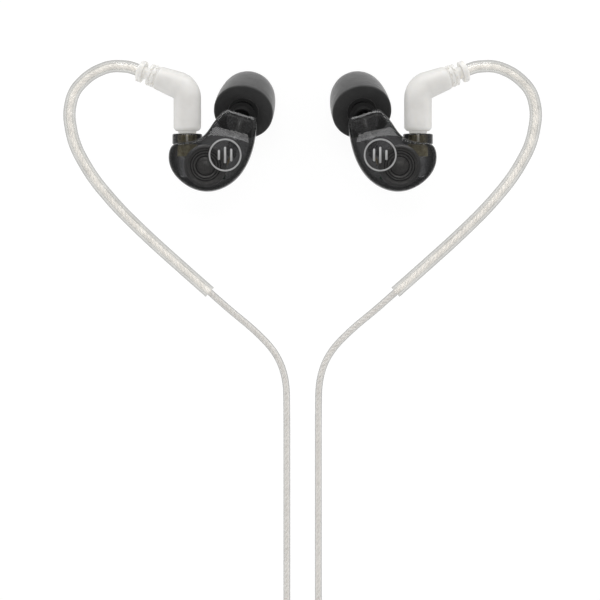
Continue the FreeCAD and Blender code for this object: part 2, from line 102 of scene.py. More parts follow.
# Connector and angled plug
CONNECTOR = Vector((-25.4, 0, 10.5))
BOSS_RADIUS = 3.3
SOCKET_RADIUS = 2.2
SOCKET_BORE = 1.7
BARREL_END = 12.4
PLUG_RADIUS = 3.03
ELBOW = CONNECTOR + FORWARD * 19.5
ARM_WAY = Vector((-0.9132, 0.3505, -0.2079)).normalized()
ARM_LENGTH = 7.1
BEND_RADIUS = 3.1
PLUG_FOOT = (                 # radius, distance along the connector's axis
    (1.70, 9.62), (1.88, 9.65), (1.98, 9.76), (2.0, 9.9), (2.0, 10.05), (2.03, 10.13), (2.12, 10.17),
    (2.4, 10.18), (2.58, 10.25), (2.88, 10.6), (2.99, 10.8), (3.03, 11.05),
)
RELIEF_PROFILE = (            # radius, distance from the arm: two grooves, a neck and a flange
    (0, 0), (2.1, 0), (2.1, 0.35), (2.5, 0.35), (2.5, 1.15), (2.05, 1.15), (2.05, 1.4), (2.45, 1.4),
    (2.45, 2.1), (1.4, 2.1), (1.4, 3.4), (2.4, 3.4), (2.4, 4.5), (1.6, 4.55), (1.5, 4.9), (0, 4.9),
)
RELIEF_START = ELBOW + ARM_WAY * ARM_LENGTH
RELIEF_END = RELIEF_START + ARM_WAY * 4.9

# Ear hook and branch cable
TUBE_RADIUS = 1.375
TUBE_BORE = 0.875
BRANCH_RADIUS = 0.75
BRANCH_STRANDS = (0.31, 0.26, 3.6)      # offset, radius, pitch
MAIN_STRANDS = (0.46, 0.39, 5.4)
HOOK_ROUTE = (
    RELIEF_END, RELIEF_END + ARM_WAY * 2.1, Vector((-42.5, 24.75, 6.1)), Vector((-46.9, 23.05, 4.0)),
    Vector((-50.8, 19.4, 2.1)), Vector((-52.0, 14.3, 1.375)), Vector((-50.8, 7.5, 1.375)),
    Vector((-46.8, 0.3, 1.375)), Vector((-41.0, -6.6, 1.375)), Vector((-34.0, -13.4, 1.375)),
    Vector((-27.2, -19.5, 1.375)), Vector((-20.6, -25.33, 1.375)),
)
HOOK_EXIT = (HOOK_ROUTE[-1] - HOOK_ROUTE[-2]).normalized()

# Camera, and light of the studio tent, low down and straight above
CAMERA_PLACE = Vector((-0.58, -27.06, 1200))
LENS = 324
HORIZON_LIGHT = 1.0
ZENITH_LIGHT = 0.42
NEAR_SIDE_LIGHT = 0.6
FLOOR_SIZE = 3000
FLOOR_CELLS = 40
FLOOR_CENTRE = Vector((0, -60, -0.03))

# Coil, split, slider and jack
MAIN_RADIUS = 1.1
COIL_CENTRE = Vector((13.2, -126.5, 0))
COIL_RADIUS = 13.2
COIL_MIDDLE_Z = 4.1
COIL_HALF_HEIGHT = 3.7
COIL_FLAT = 4.0
STRAP_SPAN = 26
SPLIT_X = 26.4
SPLIT_CENTRE = Vector((SPLIT_X, -126.5, 9.9))
SPLIT_SIZE = Vector((7.0, 13.0, 4.2))
SPLIT_PORTS = {"right": 27.3, "left": 25.6}
BRANCH_RING = {"right": 16.8, "left": 15.35}     # radius where each branch joins the coil
BRANCH_DRIFT = 2.9            # inward per turn
MAIN_START = 67.5             # degrees round the coil
RING_STEP = 22.5
RING_SWELL = 1 / cos(radians(RING_STEP / 2))     # keeps the curve of the corners on its ring
SLIDER_Y = -101.5
JACK_START = Vector((-8.6, -144.4, 3.6))


# ---- shapes

class Shape:
    """Points in millimetres and the faces between them."""

    def __init__(self):
        self.points = []
        self.faces = []

    def ring(self, points):
        start = len(self.points)
        self.points.extend(tuple(p) for p in points)
        return list(range(start, start + len(points)))

    def bridge(self, a, b):
        count = len(a)
        for i in range(count):
            j = (i + 1) % count
            self.faces.append((a[i], a[j], b[j], b[i]))

    def skin(self, rows):
        """Rings of points, each joined to the next."""
        rings = [self.ring(row) for row in rows]
        for a, b in zip(rings, rings[1:]):
            self.bridge(a, b)
        return rings

    def fan(self, ring, tip):
        centre = self.ring([tip])[0]
        count = len(ring)
        for i in range(count):
            self.faces.append((ring[i], ring[(i + 1) % count], centre))

    def add(self, other):
        start = len(self.points)
        self.points.extend(other.points)
        self.faces.extend(tuple(i + start for i in face) for face in other.faces)
        return self


def across(way):
    """Two unit vectors square to a direction."""
    helper = UP if abs(way.normalized().z) < 0.9 else FORWARD
    first = helper.cross(way).normalized()
    return first, way.normalized().cross(first)


def circle(centre, first, second, radius, sides):
    turns = (2 * pi * k / sides for k in range(sides))
    return [centre + (first * cos(a) + second * sin(a)) * radius for a in turns]


def eased(corners, radius=0.12, steps=4):
    """A closed profile with each corner rounded off."""
    result = []
    count = len(corners)
    for i in range(count):
        here = Vector(corners[i])
        before = Vector(corners[i - 1]) - here
        after = Vector(corners[(i + 1) % count]) - here
        on_axis = here.x < 1e-6
        reach = min(radius, 0.4 * before.length, 0.4 * after.length)
        if on_axis or reach < 1e-4:
            result.append(tuple(here))
            continue
        a = here + before.normalized() * reach
        b = here + after.normalized() * reach
        for k in range(steps + 1):
            t = k / steps
            point = a * (1 - t) ** 2 + here * (2 * t * (1 - t)) + b * t ** 2
            result.append(tuple(point))
    return result


def lathe(profile, origin, way, sides=96):
    """Solid turned from a closed profile of (radius, distance along the axis) corners."""
    first, second = across(way)
    way = way.normalized()
    shape = Shape()
    rings = []
    for radius, along in profile:
        centre = origin + way * along
        on_axis = radius < 1e-6
        rings.append(shape.ring([centre] if on_axis else circle(centre, first, second, radius, sides)))
    for a, b in zip(rings, rings[1:] + rings[:1]):
        if len(a) == 1 and len(b) == 1:
            continue
        if len(a) == 1:
            shape.faces.extend((b[(k + 1) % sides], b[k], a[0]) for k in range(sides))
        elif len(b) == 1:
            shape.faces.extend((a[k], a[(k + 1) % sides], b[0]) for k in range(sides))
        else:
            shape.bridge(a, b)
    return shape


def turned(profiles, origin, way, sides=96):
    """Several turned solids on one axis."""
    shape = Shape()
    for profile in profiles:
        shape.add(lathe(profile, origin, way, sides))
    return shape


def disc_profile(radius, low, high):
    return [(0, low), (radius, low), (radius, high), (0, high)]


def tube_profile(inner, outer, low, high):
    return [(inner, low), (outer, low), (outer, high), (inner, high)]


def smooth_rows(rows, steps):
    """Rows of numbers with smoothly placed rows between them."""
    rows = [np.array(row, float) for row in rows]
    padded = [2 * rows[0] - rows[1]] + rows + [2 * rows[-1] - rows[-2]]
    result = []
    for a, b, c, d in zip(padded, padded[1:], padded[2:], padded[3:]):
        for k in range(steps):
            t = k / steps
            result.append(0.5 * (2 * b + (c - a) * t + (2 * a - 5 * b + 4 * c - d) * t ** 2
                                 + (3 * b - a - 3 * c + d) * t ** 3))
    return result + [rows[-1]]


def closed_spline(points, count):
    """Smooth closed curve through points, as evenly placed points."""
    p = np.array(points, float)
    n = len(p)
    gaps = np.linalg.norm(np.roll(p, -1, 0) - p, axis=1)
    system = np.zeros((n, n))
    pull = np.zeros((n, 2))
    for i in range(n):
        before, after = gaps[i - 1], gaps[i]
        system[i, i - 1] += before / 6
        system[i, i] += (before + after) / 3
        system[i, (i + 1) % n] += after / 6
        pull[i] = (p[(i + 1) % n] - p[i]) / after - (p[i] - p[i - 1]) / before
    bend = np.linalg.solve(system, pull)
    starts = np.concatenate([[0], np.cumsum(gaps)])
    result = []
    for s in np.linspace(0, starts[-1], count, endpoint=False):
        i = min(int(np.searchsorted(starts, s, "right")) - 1, n - 1)
        j = (i + 1) % n
        h = gaps[i]
        a = (starts[i + 1] - s) / h
        b = 1 - a
        point = a * p[i] + b * p[j] + ((a ** 3 - a) * bend[i] + (b ** 3 - b) * bend[j]) * h * h / 6
        result.append(Vector((point[0], point[1], 0)))
    return result


def route(corners, step=0.5):
    """Straight runs joined by tangent arcs, each as large as its two runs allow, as close points."""
    points = [corners[0].copy()]

    def run_to(target):
        start = points[-1].copy()
        count = max(1, int((target - start).length / step))
        points.extend(start.lerp(target, (k + 1) / count) for k in range(count))

    for before, corner, after in zip(corners, corners[1:], corners[2:]):
        run_in = corner - before
        run_out = after - corner
        half = run_in.angle(run_out) / 2
        reach = 0.45 * min(run_in.length, run_out.length)
        way_in = run_in.normalized()
        way_out = run_out.normalized()
        run_to(corner - way_in * reach)
        if half < 1e-3:
            run_to(corner + way_out * reach)
            continue
        radius = reach / tan(half)
        entry = points[-1].copy()
        inward = (way_out - way_in).normalized()
        centre = corner + inward * (radius / cos(half))
        arm = entry - centre
        axis = way_in.cross(way_out).normalized()
        count = max(2, int(2 * half * radius / step))
        for k in range(count):
            points.append(centre + Matrix.Rotation(2 * half * (k + 1) / count, 3, axis) @ arm)
    run_to(corners[-1])
    return points


def evenly(points, step):
    """Points at even distances along a path."""
    p = np.array(points, float)
    lengths = np.concatenate([[0], np.cumsum(np.linalg.norm(np.diff(p, axis=0), axis=1))])
    keep = np.concatenate([[True], np.diff(lengths) > 1e-7])
    p, lengths = p[keep], lengths[keep]
    count = max(2, int(round(lengths[-1] / step)))
    at = np.linspace(0, lengths[-1], count + 1)
    return np.stack([np.interp(at, lengths, p[:, k]) for k in range(3)], axis=1), at


def moving_axes(p):
    """Two unit vectors square to the path at each point, which never twist."""
    ways = np.gradient(p, axis=0)
    ways /= np.linalg.norm(ways, axis=1)[:, None]
    first = np.zeros_like(p)
    seed = np.array(across(Vector(ways[0]))[0])
    for i, way in enumerate(ways):
        seed = seed - way * np.dot(seed, way)
        seed /= np.linalg.norm(seed)
        first[i] = seed
    return first, np.cross(ways, first)


def pipe(points, radius, sides=16, closed_ends=True):
    """Round bar along a path. The radius may change along it."""
    p = np.array(points, float)
    first, second = moving_axes(p)
    radii = np.broadcast_to(np.asarray(radius, float), (len(p),))
    angles = 2 * pi * np.arange(sides) / sides
    rings = (p[:, None, :]
             + radii[:, None, None] * (np.cos(angles)[None, :, None] * first[:, None, :]
                                       + np.sin(angles)[None, :, None] * second[:, None, :]))
    shape = Shape()
    shape.points = [tuple(q) for q in rings.reshape(-1, 3).tolist()]
    for i in range(len(p) - 1):
        low = i * sides
        for k in range(sides):
            j = (k + 1) % sides
            shape.faces.append((low + k, low + j, low + sides + j, low + sides + k))
    if closed_ends:
        shape.fan(list(range(sides))[::-1], p[0])
        shape.fan(list(range((len(p) - 1) * sides, len(p) * sides)), p[-1])
    return shape


def strand(points, lay, phase, step, sides):
    """One wire that winds round a path. Its lay is its offset from the path, radius and pitch."""
    offset, radius, pitch = lay
    p, at = evenly(points, step)
    first, second = moving_axes(p)
    turn = 2 * pi * (at / pitch + phase)
    turn = turn + 0.35 * np.sin(at / 7.3) + 0.2 * np.sin(at / 2.9 + 1.0)
    line = p + offset * (np.cos(turn)[:, None] * first + np.sin(turn)[:, None] * second)
    return pipe(line, radius, sides)


# ---- objects

def linked(name, data):
    obj = bpy.data.objects.new(name, data)
    bpy.context.scene.collection.objects.link(obj)
    return obj


def temporary(shape):
    mesh = bpy.data.meshes.new("temporary")
    mesh.from_pydata(shape.points, [], shape.faces)
    mesh.validate()
    bm = bmesh.new()
    bm.from_mesh(mesh)
    bmesh.ops.remove_doubles(bm, verts=bm.verts, dist=1e-5)
    bmesh.ops.recalc_face_normals(bm, faces=bm.faces)
    bm.to_mesh(mesh)
    bm.free()
    return linked("temporary", mesh)


def settled(obj):
    """The shape of an object with its modifiers; the object is removed."""
    graph = bpy.context.evaluated_depsgraph_get()
    mesh = bpy.data.meshes.new_from_object(obj.evaluated_get(graph))
    shape = Shape()
    shape.points = [tuple(v.co) for v in mesh.vertices]
    shape.faces = [tuple(face.vertices) for face in mesh.polygons]
    bpy.data.meshes.remove(mesh)
    bpy.data.objects.remove(obj)
    return shape


def combined(base, *others):
    """Solid algebra: each other is an (operation, shape) pair."""
    obj = temporary(base)
    tools = []
    for operation, shape in others:
        tool = temporary(shape)
        tools.append(tool)
        modifier = obj.modifiers.new("combine", "BOOLEAN")
        modifier.operation = operation
        modifier.solver = "MANIFOLD"
        modifier.object = tool
    result = settled(obj)
    for tool in tools:
        bpy.data.objects.remove(tool)
    return result


def bevelled_box(size, radius, segments=6):
    """Block about the origin with rounded edges."""
    bm = bmesh.new()
    bmesh.ops.create_cube(bm, size=1.0)
    bmesh.ops.scale(bm, vec=size, verts=bm.verts)
    bmesh.ops.bevel(bm, geom=list(bm.edges), offset=radius, segments=segments, profile=0.5, affect="EDGES")
    shape = Shape()
    shape.points = [tuple(v.co) for v in bm.verts]
    shape.faces = [tuple(v.index for v in face.verts) for face in bm.faces]
    bm.free()
    return shape


def moved(shape, offset):
    shape.points = [tuple(Vector(p) + offset) for p in shape.points]
    return shape


def place(name, shape, body, slot, nodes=(), sides=SIDES, angle=40):
    """Make the object for each side, riding on its body and standing for its CAD nodes."""
    made = []
    for side, sign in sides:
        prefix = f"{side}_" if side else ""
        mesh = bpy.data.meshes.new(f"{prefix}{name}_look")
        points = [(x * sign * MM, y * MM, z * MM) for x, y, z in shape.points]
        faces = shape.faces if sign > 0 else [face[::-1] for face in shape.faces]
        mesh.from_pydata(points, [], faces)
        bm = bmesh.new()
        bm.from_mesh(mesh)
        bmesh.ops.recalc_face_normals(bm, faces=bm.faces)
        bm.to_mesh(mesh)
        bm.free()
        mesh.shade_smooth()
        mesh.set_sharp_from_angle(angle=radians(angle))
        mesh.materials.append(FINISH[slot])
        obj = linked(f"{prefix}{name}_look", mesh)
        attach(obj, body if body in ("cable", "slider") else prefix + body)
        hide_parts(*[prefix + node for node in nodes])
        made.append(obj)
    return made


def strands(name, path, lay, step, finish, where=MIDDLE, sides=7):
    """Three wires twisted together along a path."""
    shape = Shape()
    for k in range(3):
        shape.add(strand(path, lay, k / 3, step, sides))
    made = place(name, shape, "cable", "cable_jacket", sides=where)
    for obj in made:
        obj.data.materials[0] = finish
    return made[0]


# ---- finishes

class Finish:
    """A node material under construction. Its coordinates are in metres on the object."""

    def __init__(self, name):
        self.material = bpy.data.materials.new(name)
        self.material.use_nodes = True
        self.tree = self.material.node_tree
        self.tree.nodes.clear()
        self.output = self.tree.nodes.new("ShaderNodeOutputMaterial")
        self.coords = self.node("TexCoord").outputs["Object"]

    def node(self, kind, settings=None, **inputs):
        made = self.tree.nodes.new("ShaderNode" + kind)
        for key, value in (settings or {}).items():
            setattr(made, key, value)
        for key, value in inputs.items():
            self.wire(made.inputs[key.replace("_", " ")], value)
        return made

    def wire(self, socket, value):
        if isinstance(value, bpy.types.NodeSocket):
            self.tree.links.new(value, socket)
        else:
            socket.default_value = value

    def grain(self, size, detail=3.0, roughness=0.55):
        """Noise with features of about that size in millimetres."""
        made = self.node("TexNoise", Vector=self.coords, Scale=1000 / size, Detail=detail,
                         Roughness=roughness)
        return made.outputs["Fac"]

    def cells(self, size):
        made = self.node("TexVoronoi", Vector=self.coords, Scale=1000 / size)
        return made.outputs["Distance"]

    def spread(self, value, low, high, start=0.3, end=0.7):
        made = self.node("MapRange", Value=value)
        for index, number in enumerate((start, end, low, high)):
            made.inputs[index + 1].default_value = number
        return made.outputs["Result"]

    def tint(self, factor, a, b, blend="MIX"):
        made = self.node("Mix", {"data_type": "RGBA", "blend_type": blend})
        for index, value in ((0, factor), (6, a), (7, b)):
            self.wire(made.inputs[index], value)
        return made.outputs[2]

    def cloud(self, size, a, b, detail=3):
        """Two colours in soft patches of about that size in millimetres."""
        return self.tint(self.spread(self.grain(size, detail), 0, 1), colour(a), colour(b))

    def relief(self, height, depth, strength=1.0, normal=None):
        """Bump of that depth in millimetres."""
        made = self.node("Bump", Height=height, Distance=depth * MM, Strength=strength)
        if normal is not None:
            self.wire(made.inputs["Normal"], normal)
        return made.outputs["Normal"]

    def mixed(self, kind, factor, a, b):
        """Two shaders mixed or added."""
        made = self.node(kind)
        if factor is not None:
            self.wire(made.inputs[0], factor)
        self.wire(made.inputs[-2], a)
        self.wire(made.inputs[-1], b)
        return made.outputs[0]

    def maths(self, operation, a, b):
        made = self.node("Math", {"operation": operation})
        self.wire(made.inputs[0], a)
        self.wire(made.inputs[1], b)
        return made.outputs[0]

    def edge(self, sharpness):
        """Nearly nothing where the surface faces the eye, one where it turns away."""
        return self.maths("POWER", self.node("LayerWeight", Blend=0.5).outputs["Facing"], sharpness)

    def done(self, shader, volume=None):
        self.wire(self.output.inputs["Surface"], shader)
        if volume is not None:
            self.wire(self.output.inputs["Volume"], volume)
        return self.material

    def opaque(self, **inputs):
        return self.done(self.node("BsdfPrincipled", **inputs).outputs[0])


def colour(value):
    """A grey from one number, or a colour from three."""
    return (*value, 1) if isinstance(value, tuple) else (value, value, value, 1)


def solid(name, shade, other, size, roughness, depth=0.004, **extra):
    """Opaque finish with a soft change of colour, uneven gloss and a fine surface."""
    f = Finish(name)
    fine = f.grain(size / 9, 3)
    return f.opaque(Base_Color=f.cloud(size, shade, other, 4), Normal=f.relief(fine, depth),
                    Roughness=f.spread(fine, roughness - 0.08, roughness + 0.08), **extra)


def clear(name, straight, edge, gloss, bend=2.2, haze=0.0, haze_shade=0.8, index=1.5, lets_light_in=False,
          depth_loss=0.0):
    """Clear plastic that darkens towards its edges and reflects, and takes light away per millimetre."""
    f = Finish(name)
    patches = f.spread(f.grain(2.5, 3), 0.93, 1.0)
    seen = f.tint(1.0, f.tint(f.edge(bend), colour(straight), colour(edge)), patches, "MULTIPLY")
    rays = f.node("LightPath").outputs
    if lets_light_in:
        inward = f.maths("MAXIMUM", rays["Is Shadow Ray"], rays["Is Diffuse Ray"])
        seen = f.tint(inward, seen, colour(1))
    through = f.node("BsdfTransparent", Color=seen).outputs[0]
    normal = f.relief(f.grain(1.8, 2), 0.004)
    if haze:
        mist = f.node("BsdfDiffuse", Color=colour(haze_shade), Normal=normal).outputs[0]
        through = f.mixed("MixShader", haze, through, mist)
    shine = f.node("BsdfGlossy", Roughness=f.spread(f.grain(0.5, 3), gloss * 0.7, gloss * 1.3),
                   Color=colour(1), Normal=normal).outputs[0]
    straight_on = ((index - 1) / (index + 1)) ** 2
    mirror = f.spread(f.edge(5.0), straight_on, 0.9, 0.0, 1.0)
    surface = f.mixed("MixShader", mirror, through, shine)
    if not depth_loss:
        return f.done(surface)
    density = f.spread(rays["Is Camera Ray"], 0.2 * depth_loss / MM, depth_loss / MM, 0.0, 1.0)
    return f.done(surface, f.node("VolumeAbsorption", Color=colour(0), Density=density).outputs[0])


def foam():
    f = Finish("black_foam")
    pores = f.cells(0.16)
    # The pores' pits are darker: painted shade in the hollows of the foam.
    shade = f.tint(f.spread(pores, 1, 0, 0.0, 0.35), f.cloud(3.0, 0.015, 0.025, 4), colour(0.008))
    normal = f.relief(pores, 0.035, 0.8, f.relief(f.cells(0.34), 0.05, 0.6))
    return f.opaque(Base_Color=shade, Roughness=0.62, Normal=normal, Sheen_Weight=0.6, Sheen_Roughness=0.4)


def milky():
    """Clouded soft plastic. A little glow stands for the light that it passes on inside."""
    f = Finish("milky_moulding")
    inside = f.cloud(3.5, (0.68, 0.67, 0.65), (0.74, 0.73, 0.71))
    # The colour darkens towards the rim as the surface turns from the eye: painted shade for the moulding's
    # dark edges. The glow takes this colour too.
    shade = f.tint(f.edge(3.0), inside, colour((0.30, 0.305, 0.29)))
    return f.opaque(Base_Color=shade, Roughness=0.42, Normal=f.relief(f.grain(0.25, 3), 0.006),
                    Subsurface_Weight=0.75, Subsurface_Scale=2.4 * MM, Subsurface_Radius=(1.0, 0.95, 0.85),
                    Emission_Color=shade, Emission_Strength=0.25)


def silver(name, painted_glow):
    """Silver-plated strands: fine wires laid side by side. Their glow is painted light, standing for the
    light that they pass on to each other.
    """
    f = Finish(name)
    fine = f.grain(0.09, 2)
    return f.opaque(Base_Color=f.cloud(1.6, (0.93, 0.905, 0.87), (1.0, 0.98, 0.95)),
                    Roughness=f.spread(fine, 0.3, 0.5), Normal=f.relief(fine, 0.02),
                    Emission_Color=colour((1.0, 0.98, 0.95)), Emission_Strength=painted_glow)


def strap():
    f = Finish("tie_strap")
    return f.opaque(Base_Color=f.cloud(2.0, 0.016, 0.032, 4), Roughness=0.85,
                    Normal=f.relief(f.cells(0.28), 0.12), Sheen_Weight=0.3)


def floor_finish():
    f = Finish("studio_floor")
    pale = f.tint(f.grain(60.0, 3), colour(0.985), colour(1))
    lit = f.node("Emission", Color=pale, Strength=0.92)
    soft = f.node("BsdfDiffuse", Color=colour(0.16))
    return f.done(f.mixed("AddShader", None, lit.outputs[0], soft.outputs[0]))


FINISH = {"black_foam": foam(), "milky_moulding": milky(), "tie_strap": strap()}
for name, shade, other, size, roughness, extra in (       # size of the patches in millimetres
    ("silver_print", 0.42, 0.52, 2.0, 0.4, {"Metallic": 0.2, "depth": 0.006}),
    ("black_nozzle", 0.005, 0.009, 2.5, 0.7, {"Specular_IOR_Level": 0.2}),
    ("steel_mesh", 0.5, 0.62, 0.8, 0.3, {"Metallic": 1.0}),
    ("black_rubber", 0.010, 0.016, 1.5, 0.85,
     {"depth": 0.01, "Specular_IOR_Level": 0.15, "Sheen_Weight": 0.3}),
    ("brass", (0.50, 0.43, 0.24), (0.95, 0.86, 0.58), 0.9, 0.3, {"Metallic": 0.5}),
    ("white_insulator", 0.72, 0.8, 1.0, 0.5, {}),
    ("gold_contact", (0.85, 0.62, 0.24), (0.93, 0.7, 0.3), 0.8, 0.2, {"Metallic": 1.0}),
    ("steel", 0.5, 0.62, 1.5, 0.25, {"Metallic": 1.0}),
    ("diaphragm_film", (0.30, 0.29, 0.28), (0.40, 0.39, 0.37), 1.2, 0.3, {"Metallic": 0.3}),
    ("nickel_magnet", (0.306, 0.30, 0.294), (0.3876, 0.38, 0.3724), 1.6, 0.32, {"Metallic": 0.5}),
    ("circuit_board", (0.01, 0.07, 0.03), (0.015, 0.10, 0.05), 0.8, 0.4, {}),
    ("spring_brass", (0.5, 0.38, 0.15), (0.6, 0.46, 0.2), 0.6, 0.25, {"Metallic": 1.0}),
    ("black_housing", 0.015, 0.026, 4.0, 0.38, {"depth": 0.008}),
    ("gold_plate", (0.86, 0.63, 0.26), (0.94, 0.72, 0.33), 2.0, 0.18, {"Metallic": 1.0}),
    ("black_insulator", 0.02, 0.03, 1.0, 0.5, {}),
):
    FINISH[name] = solid(name, shade, other, size, roughness, **extra)
for name, straight, edge, gloss, extra in (
    ("smoke_shell", (0.68, 0.68, 0.685), (0.22, 0.22, 0.225), 0.05,
     {"bend": 1.6, "index": 1.36, "lets_light_in": True, "depth_loss": 0.75}),
    ("shell_seam", 0.5, 0.2, 0.25, {"haze": 0.22, "haze_shade": 0.5}),
    ("clear_hose", (0.9, 0.9, 0.88), (0.5, 0.5, 0.48), 0.1, {"haze": 0.1}),
    ("clear_tube", (1.0, 0.995, 0.985), (0.50, 0.50, 0.485), 0.12, {"bend": 0.9, "lets_light_in": True}),
    ("cable_jacket", (0.95, 0.945, 0.935), (0.32, 0.32, 0.31), 0.16, {"bend": 1.2, "lets_light_in": True}),
    ("cable_jacket_in_tube", (1.0, 0.995, 0.985), (0.93, 0.93, 0.92), 0.16,
     {"bend": 1.2, "lets_light_in": True}),
):
    FINISH[name] = clear(name, straight, edge, gloss, **extra)
STRANDS = silver("silver_strands", 0.06)
# The strands in the hook tube glow more: painted light that makes up for the tube's shade.
STRANDS_IN_TUBE = silver("silver_strands_in_tube", 0.24)
SLEEVED = FINISH["cable_jacket_in_tube"]


# ---- camera and light

def camera():
    data = bpy.data.cameras.new("camera")
    data.lens = LENS
    data.sensor_width = 36
    data.clip_start = 0.05
    data.clip_end = 10
    obj = linked("camera", data)
    obj.location = CAMERA_PLACE * MM
    bpy.context.scene.camera = obj


def softbox(name, place_mm, target_mm, width, height, watts, shine_only=False):
    data = bpy.data.lights.new(name, "AREA")
    data.shape = "RECTANGLE"
    data.size = width
    data.size_y = height
    data.energy = watts
    obj = linked(name, data)
    obj.location = Vector(place_mm) * MM
    obj.rotation_euler = (Vector(target_mm) - Vector(place_mm)).to_track_quat("-Z", "Y").to_euler()
    obj.visible_diffuse = not shine_only


def studio():
    world = bpy.data.worlds.new("studio")
    bpy.context.scene.world = world
    world.use_nodes = True
    nodes = world.node_tree.nodes
    links = world.node_tree.links
    split = nodes.new("ShaderNodeSeparateXYZ")
    links.new(nodes.new("ShaderNodeTexCoord").outputs["Generated"], split.inputs[0])
    both = nodes.new("ShaderNodeMath")
    both.operation = "MULTIPLY"
    for index, (axis, *limits) in enumerate((("Z", 0.45, 0.88, HORIZON_LIGHT, ZENITH_LIGHT),
                                             ("Y", -0.7, 0.3, NEAR_SIDE_LIGHT, 1.0))):
        ramp = nodes.new("ShaderNodeMapRange")
        ramp.interpolation_type = "SMOOTHSTEP"
        links.new(split.outputs[axis], ramp.inputs["Value"])
        for socket, number in enumerate(limits, 1):
            ramp.inputs[socket].default_value = number
        links.new(ramp.outputs["Result"], both.inputs[index])
    back = nodes["Background"]
    back.inputs["Color"].default_value = (1, 1, 1, 1)
    links.new(both.outputs[0], back.inputs["Strength"])
    softbox("key", (0, 400, 900), (0, 0, 0), 0.42, 0.26, 1.3)
    softbox("far_side", (0, 900, 330), (0, 0, 0), 1.2, 0.35, 8, shine_only=True)
    bm = bmesh.new()
    bmesh.ops.create_grid(bm, x_segments=FLOOR_CELLS, y_segments=FLOOR_CELLS, size=FLOOR_SIZE / 2 * MM,
                          matrix=Matrix.Translation(FLOOR_CENTRE * MM))
    mesh = bpy.data.meshes.new("studio_floor")
    bm.to_mesh(mesh)
    bm.free()
    mesh.materials.append(floor_finish())
    obj = linked("studio_floor", mesh)
    view = bpy.context.scene.view_settings
    view.view_transform = "Standard"
    view.look = "None"


# ---- shell

def face_top(point, drop):
    """Height of the face plate's front: level, then falling away towards the nozzle."""
    away = Vector((point.x, point.y, 0)) - Vector((TIP_BACK.x, TIP_BACK.y, 0))
    reach = away.dot(HEADING)
    aside = away.dot(UP.cross(HEADING)) - NECK_MIDDLE
    share = min(1.0, max(0.0, (reach - NECK_CROWN_START) / NECK_CROWN_RUN))
    crown = NECK_CROWN * aside ** 2 * share * share * (3 - 2 * share)
    radius = NECK_SLOPE_RADIUS - drop
    along = reach - (NECK_SLOPE_START - radius * tan(NECK_SLOPE / 2))
    top = FACE_Z - drop
    bend = radius * sin(NECK_SLOPE)
    if along <= 0:
        return top - crown
    if along <= bend:
        return top - crown - radius + sqrt(radius ** 2 - along ** 2)
    return top - crown - radius * (1 - cos(NECK_SLOPE)) - (along - bend) * tan(NECK_SLOPE)


def scaled(outline, share):
    return [SHELL_CENTRE + (p - SHELL_CENTRE) * share for p in outline]


def face_skin(shape, outline, share, drop):
    """One side of the face half's wall. Returns its ring at the parting."""
    rows = smooth_rows(FACE_ROWS[1:] if drop else FACE_ROWS, 3)
    inner = rows[-1][1]
    rows += [(FACE_DEPTH, inner * k / 9) for k in range(8, 0, -1)]
    rings = shape.skin(
        [(p.x, p.y, PARTING_Z + height / FACE_DEPTH * (face_top(p, drop) - PARTING_Z))
         for p in scaled(outline, scale * share)]
        for height, scale in rows)
    shape.fan(rings[-1], SHELL_CENTRE + UP * face_top(SHELL_CENTRE, drop))
    return rings[0]


def back_skin(shape, outline, share, lift):
    """One side of the rear half's wall: layers that fan out from the neck."""
    pivot = Vector((TIP_BACK.x, TIP_BACK.y, 0))
    hinge = UP.cross(HEADING)
    layers = []
    for tilt, drop, scale in smooth_rows(BACK_ROWS[1:] if lift else BACK_ROWS, 4):
        rise = lift * min(1.0, tilt / 18)
        turn = Matrix.Rotation(radians(-tilt), 3, hinge)
        height = UP * (PARTING_Z - drop + rise)
        layers.append([pivot + turn @ (p - pivot) + height for p in scaled(outline, scale * share)])
    rings = shape.skin(layers)
    last = [Vector(shape.points[i]) for i in rings[-1]]
    shape.fan(rings[-1], sum(last, Vector()) / len(last))
    return rings[0]


